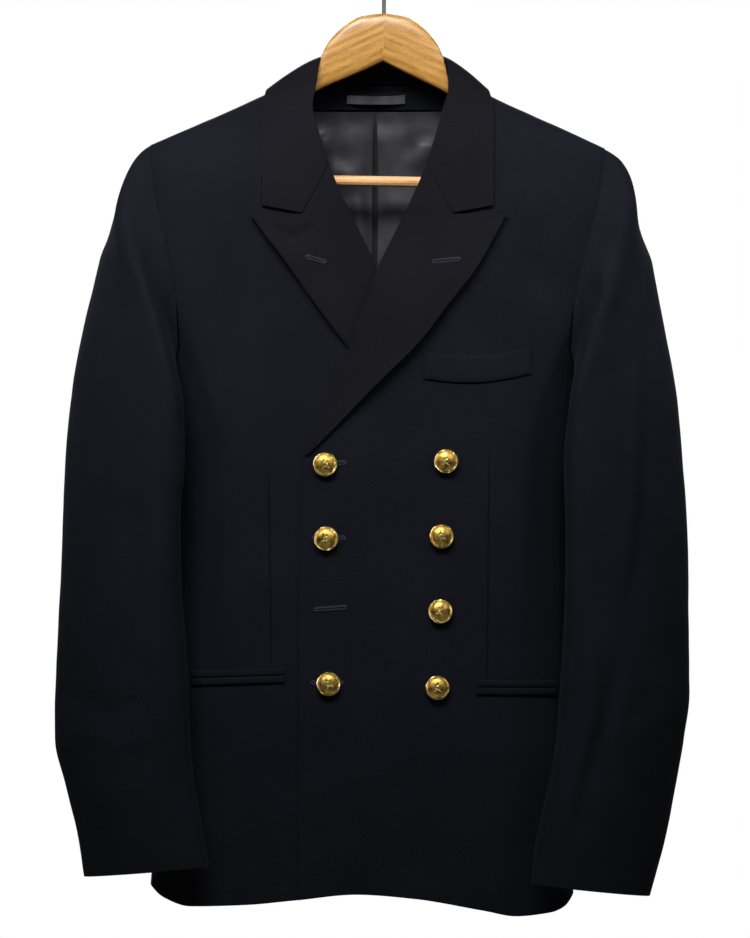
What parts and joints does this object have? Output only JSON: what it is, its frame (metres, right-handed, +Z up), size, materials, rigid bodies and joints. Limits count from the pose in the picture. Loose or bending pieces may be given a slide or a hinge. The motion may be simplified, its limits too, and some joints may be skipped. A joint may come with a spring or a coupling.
{
  "type": "reefer jacket on a wooden hanger",
  "caption": "Double-breasted navy wool jacket with peak lapels and domed metal buttons, hanging open at neck, hem and cuffs on a wooden hanger with a trouser bar.",
  "frame": {"origin": "where the hanger's hook rests on a rail: the inside top of the hook's bend", "axes": "+Z up, the jacket's front faces -Y, the wearer's left is +X"},
  "size_m": [0.5904, 0.1588, 0.9157],
  "materials": {
    "wool": "navy melton wool, matt",
    "wool_facing": "navy melton wool, matt, pressed",
    "lining": "dark violet-grey satin lining",
    "loop": "grey satin ribbon",
    "button": "stamped and gilt, polished",
    "wood": "clear-lacquered light hardwood",
    "hook": "plain steel wire"
  },
  "bodies": {
    "root": {"front_left": "wool", "front_right": "wool", "side_left": "wool", "side_right": "wool", "back_left": "wool", "back_right": "wool", "sleeve_top_left": "wool", "sleeve_top_right": "wool", "sleeve_under_left": "wool", "sleeve_under_right": "wool", "collar_fall": "wool_facing", "collar_stand": "wool_facing", "lapel_left": "wool_facing", "lapel_right": "wool_facing", "neck_facing": "wool", "hanging_loop": "loop", "back_lining": "lining", "breast_welt": "wool", "jet_left_upper": "wool", "jet_left_lower": "wool", "jet_right_upper": "wool", "jet_right_lower": "wool", "button_hole_side_1": "button", "button_hole_side_2": "button", "button_hole_side_4": "button", "button_show_side_1": "button", "button_show_side_2": "button", "button_show_side_3": "button", "button_show_side_4": "button", "hanger_arm_left": "wood", "hanger_arm_right": "wood", "trouser_bar": "wood", "hanger_hook": "hook"}
  },
  "joints": []
}
